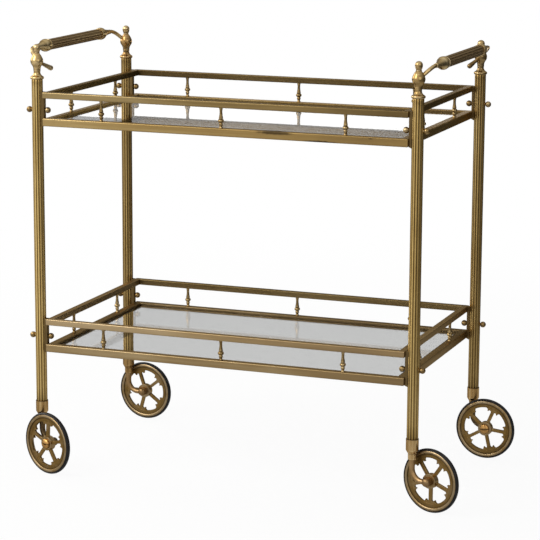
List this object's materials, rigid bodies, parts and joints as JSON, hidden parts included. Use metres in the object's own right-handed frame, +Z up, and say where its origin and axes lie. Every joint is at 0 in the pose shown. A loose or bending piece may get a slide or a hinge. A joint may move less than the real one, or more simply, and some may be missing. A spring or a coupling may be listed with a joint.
{
  "type": "bar cart",
  "caption": "Two-tier bar cart with reeded brass legs, galleried glass shelves, end handles with turned finials and large spoked swivel casters.",
  "frame": {"origin": "on the floor under the middle between the four legs", "axes": "+X along the cart from handle to handle, towards the right end seen from the front, +Y from the front to the back, +Z up"},
  "size_m": [0.7912, 0.4375, 0.7483],
  "materials": {
    "antique_brass": "dark antique brass with brown patina",
    "tray_brass": "satin antique brass with dark stains",
    "fitting_brass": "worn, half-bright turned brass",
    "caster_brass": "cast brass with dark recesses",
    "dark_grip_brass": "dark brown reeded brass",
    "clear_glass": "clear polished float glass",
    "black_rubber": "matt black rubber"
  },
  "bodies": {
    "cart": {"ball_nuts": "fitting_brass", "clamp_levers": "fitting_brass", "corner_posts": "tray_brass", "finial_knobs": "fitting_brass", "front_left_caster_socket": "caster_brass", "front_left_finial": "antique_brass", "front_left_leg": "antique_brass", "front_right_caster_socket": "caster_brass", "front_right_finial": "antique_brass", "front_right_leg": "antique_brass", "glass_ledges": "tray_brass", "left_handle_ferrules": "antique_brass", "left_handle_grip": "dark_grip_brass", "left_handle_rods": "antique_brass", "lower_glass": "clear_glass", "lower_tray_front_frame": "tray_brass", "lower_tray_front_rail": "tray_brass", "lower_tray_left_frame": "tray_brass", "lower_tray_left_rail": "tray_brass", "lower_tray_rear_frame": "tray_brass", "lower_tray_rear_rail": "tray_brass", "lower_tray_right_frame": "tray_brass", "lower_tray_right_rail": "tray_brass", "lower_tray_spindles": "tray_brass", "rear_left_caster_socket": "caster_brass", "rear_left_finial": "antique_brass", "rear_left_leg": "antique_brass", "rear_right_caster_socket": "caster_brass", "rear_right_finial": "antique_brass", "rear_right_leg": "antique_brass", "right_handle_ferrules": "antique_brass", "right_handle_grip": "dark_grip_brass", "right_handle_rods": "antique_brass", "tray_bolts": "fitting_brass", "upper_glass": "clear_glass", "upper_tray_front_frame": "tray_brass", "upper_tray_front_rail": "tray_brass", "upper_tray_left_frame": "tray_brass", "upper_tray_left_rail": "tray_brass", "upper_tray_rear_frame": "tray_brass", "upper_tray_rear_rail": "tray_brass", "upper_tray_right_frame": "tray_brass", "upper_tray_right_rail": "tray_brass", "upper_tray_spindles": "tray_brass"},
    "front_left_caster": {"front_left_caster_arm": "caster_brass", "front_left_axle_screw": "fitting_brass"},
    "front_left_wheel": {"front_left_wheel": "caster_brass", "front_left_tyre": "black_rubber"},
    "front_right_caster": {"front_right_caster_arm": "caster_brass", "front_right_axle_screw": "fitting_brass"},
    "front_right_wheel": {"front_right_wheel": "caster_brass", "front_right_tyre": "black_rubber"},
    "rear_left_caster": {"rear_left_caster_arm": "caster_brass", "rear_left_axle_screw": "fitting_brass"},
    "rear_left_wheel": {"rear_left_wheel": "caster_brass", "rear_left_tyre": "black_rubber"},
    "rear_right_caster": {"rear_right_caster_arm": "caster_brass", "rear_right_axle_screw": "fitting_brass"},
    "rear_right_wheel": {"rear_right_wheel": "caster_brass", "rear_right_tyre": "black_rubber"}
  },
  "joints": [
    {"name": "front_left_swivel", "type": "hinge", "parent": "cart", "child": "front_left_caster", "pos_m": [-0.3385, -0.184, 0.0893], "axis": [0, 0, 1], "continuous": true},
    {"name": "front_left_wheel_spin", "type": "hinge", "parent": "front_left_caster", "child": "front_left_wheel", "pos_m": [-0.31672, -0.20784, 0.0544], "axis": [-0.3665, -0.9304, 0], "continuous": true},
    {"name": "front_right_swivel", "type": "hinge", "parent": "cart", "child": "front_right_caster", "pos_m": [0.3385, -0.184, 0.0893], "axis": [0, 0, 1], "continuous": true},
    {"name": "front_right_wheel_spin", "type": "hinge", "parent": "front_right_caster", "child": "front_right_wheel", "pos_m": [0.37047, -0.17946, 0.0544], "axis": [0.309, 0.9511, 0], "continuous": true},
    {"name": "rear_left_swivel", "type": "hinge", "parent": "cart", "child": "rear_left_caster", "pos_m": [-0.3385, 0.184, 0.0893], "axis": [0, 0, 1], "continuous": true},
    {"name": "rear_left_wheel_spin", "type": "hinge", "parent": "rear_left_caster", "child": "rear_left_wheel", "pos_m": [-0.30808, 0.19483, 0.0544], "axis": [0.1132, 0.9936, 0], "continuous": true},
    {"name": "rear_right_swivel", "type": "hinge", "parent": "cart", "child": "rear_right_caster", "pos_m": [0.3385, 0.184, 0.0893], "axis": [0, 0, 1], "continuous": true},
    {"name": "rear_right_wheel_spin", "type": "hinge", "parent": "rear_right_caster", "child": "rear_right_wheel", "pos_m": [0.36672, 0.1683, 0.0544], "axis": [-0.0523, -0.9986, 0], "continuous": true}
  ]
}
